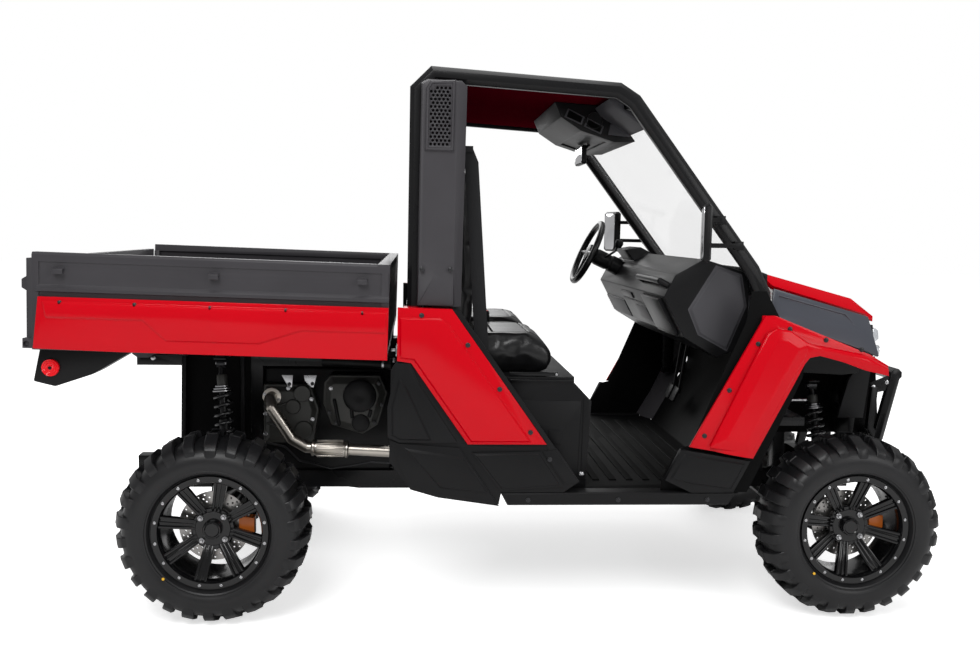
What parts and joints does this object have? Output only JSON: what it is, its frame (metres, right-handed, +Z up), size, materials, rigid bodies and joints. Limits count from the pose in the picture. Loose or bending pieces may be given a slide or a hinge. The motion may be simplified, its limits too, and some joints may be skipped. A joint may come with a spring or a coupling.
{
  "type": "side by side utv",
  "caption": "Two-seat side by side utility vehicle with roll cage, roof, windscreen and tipping cargo bed, on lugged tyres.",
  "frame": {"origin": "on the floor, at the middle of the vehicle's length and width", "axes": "+X forward, +Y to the vehicle's left, +Z up"},
  "size_m": [3.172, 1.7, 1.9026],
  "materials": {
    "belt_webbing": "black webbing",
    "black_plastic": "fine-grained black plastic",
    "black_steel": "satin black powder coat",
    "cast_metal": "rough dark grey casting",
    "clear_glass": "clear polycarbonate",
    "clear_lens": "clear lens",
    "dark_metal": "satin black steel",
    "disc_steel": "machined steel",
    "exhaust_steel": "heat-toned stainless steel",
    "gloss_black_rim": "gloss black",
    "grey_panel": "satin bluish dark grey",
    "red_lens": "ribbed red lens",
    "red_panel": "gloss moulded-in red",
    "seat_vinyl": "grained black vinyl",
    "steering_grip": "matt black soft grip",
    "tyre_rubber": "black rubber"
  },
  "bodies": {
    "vehicle": {"axle_shafts": "dark_metal", "bed_subframe": "black_steel", "brush_guard": "black_steel", "chassis_frame": "black_steel", "cowl_panel": "black_plastic", "dashboard": "black_plastic", "engine_block": "cast_metal", "engine_covers": "cast_metal", "exhaust": "exhaust_steel", "floor_pan": "black_plastic", "front_bulkhead": "black_steel", "front_differential": "cast_metal", "front_fascia": "black_plastic", "front_fenders": "red_panel", "headlamps": "clear_lens", "hood_side_panels": "grey_panel", "mirrors": "black_plastic", "overhead_console": "black_plastic", "pillar_covers": "black_plastic", "quarter_panels": "red_panel", "rear_knuckles": "cast_metal", "roll_cage": "black_steel", "roof_panel": "red_panel", "seat_backs": "seat_vinyl", "seat_base": "black_plastic", "seat_belts": "belt_webbing", "seat_cushions": "seat_vinyl", "shock_absorbers": "dark_metal", "side_cladding": "black_plastic", "side_steps": "black_plastic", "skid_plate": "black_steel", "suspension_arms": "black_steel", "suspension_mounts": "black_steel", "transaxle": "cast_metal", "wheel_arch_liners": "black_plastic", "windscreen": "clear_glass"},
    "wheel_front_right": {"tyre_front_right": "tyre_rubber", "rim_front_right": "gloss_black_rim", "brake_disc_front_right": "disc_steel"},
    "wheel_front_left": {"tyre_front_left": "tyre_rubber", "rim_front_left": "gloss_black_rim", "brake_disc_front_left": "disc_steel"},
    "wheel_rear_right": {"tyre_rear_right": "tyre_rubber", "rim_rear_right": "gloss_black_rim", "brake_disc_rear_right": "disc_steel"},
    "wheel_rear_left": {"tyre_rear_left": "tyre_rubber", "rim_rear_left": "gloss_black_rim", "brake_disc_rear_left": "disc_steel"},
    "upright_right": {"knuckle_right": "cast_metal"},
    "upright_left": {"knuckle_left": "cast_metal"},
    "rack": {"steering_rack": "black_steel"},
    "wheel_for_steering": {"steering_wheel": "steering_grip"},
    "cargo_bed": {"bed_box": "black_steel", "bed_side_panels": "red_panel", "tail_lamp_pods": "black_plastic", "tail_lamps": "red_lens"},
    "rear_gate": {"tailgate": "black_steel"},
    "bonnet": {"hood": "red_panel"},
    "glove_lid": {"glove_box_lid": "black_plastic"}
  },
  "joints": [
    {"name": "rear_right_spin", "type": "hinge", "parent": "vehicle", "child": "wheel_rear_right", "pos_m": [-0.98099, -0.644, 0.327], "axis": [0, 1, 0], "continuous": true},
    {"name": "rear_left_spin", "type": "hinge", "parent": "vehicle", "child": "wheel_rear_left", "pos_m": [-0.98099, 0.644, 0.327], "axis": [0, 1, 0], "continuous": true},
    {"name": "right_steer", "type": "hinge", "parent": "vehicle", "child": "upright_right", "pos_m": [1.25901, -0.6, 0.327], "axis": [0, 0, 1], "range_deg": [-26, 26]},
    {"name": "left_steer", "type": "hinge", "parent": "vehicle", "child": "upright_left", "pos_m": [1.25901, 0.6, 0.327], "axis": [0, 0, 1], "range_deg": [-26, 26]},
    {"name": "front_right_spin", "type": "hinge", "parent": "upright_right", "child": "wheel_front_right", "pos_m": [1.25901, -0.659, 0.327], "axis": [0, 1, 0], "continuous": true},
    {"name": "front_left_spin", "type": "hinge", "parent": "upright_left", "child": "wheel_front_left", "pos_m": [1.25901, 0.659, 0.327], "axis": [0, 1, 0], "continuous": true},
    {"name": "rack_slide", "type": "slide", "parent": "vehicle", "child": "rack", "axis": [0, 1, 0], "range_m": [-0.05086, 0.05086]},
    {"name": "steering_wheel_turn", "type": "hinge", "parent": "vehicle", "child": "wheel_for_steering", "pos_m": [0.46901, 0.35, 1.267], "axis": [-0.91, 0, 0.4147], "range_deg": [-312.01, 312.01]},
    {"name": "bed_dump", "type": "hinge", "parent": "vehicle", "child": "cargo_bed", "pos_m": [-1.31099, 0, 0.889], "axis": [0, -1, 0], "range_deg": [0, 45]},
    {"name": "tailgate_drop", "type": "hinge", "parent": "cargo_bed", "child": "rear_gate", "pos_m": [-1.55374, 0, 0.964], "axis": [0, -1, 0], "range_deg": [0, 90]},
    {"name": "hood_lift", "type": "hinge", "parent": "vehicle", "child": "bonnet", "pos_m": [0.95501, 0, 1.218], "axis": [0, -1, 0], "range_deg": [0, 60]},
    {"name": "glove_lid_drop", "type": "hinge", "parent": "vehicle", "child": "glove_lid", "pos_m": [0.65028, -0.4, 0.98987], "axis": [0, -1, 0], "range_deg": [0, 75]}
  ],
  "couplings": [
    {"joint": "left_steer", "follows": "right_steer", "ratio": 1},
    {"joint": "rack_slide", "follows": "right_steer", "m_per_rad": -0.11206},
    {"joint": "steering_wheel_turn", "follows": "right_steer", "ratio": 12}
  ]
}
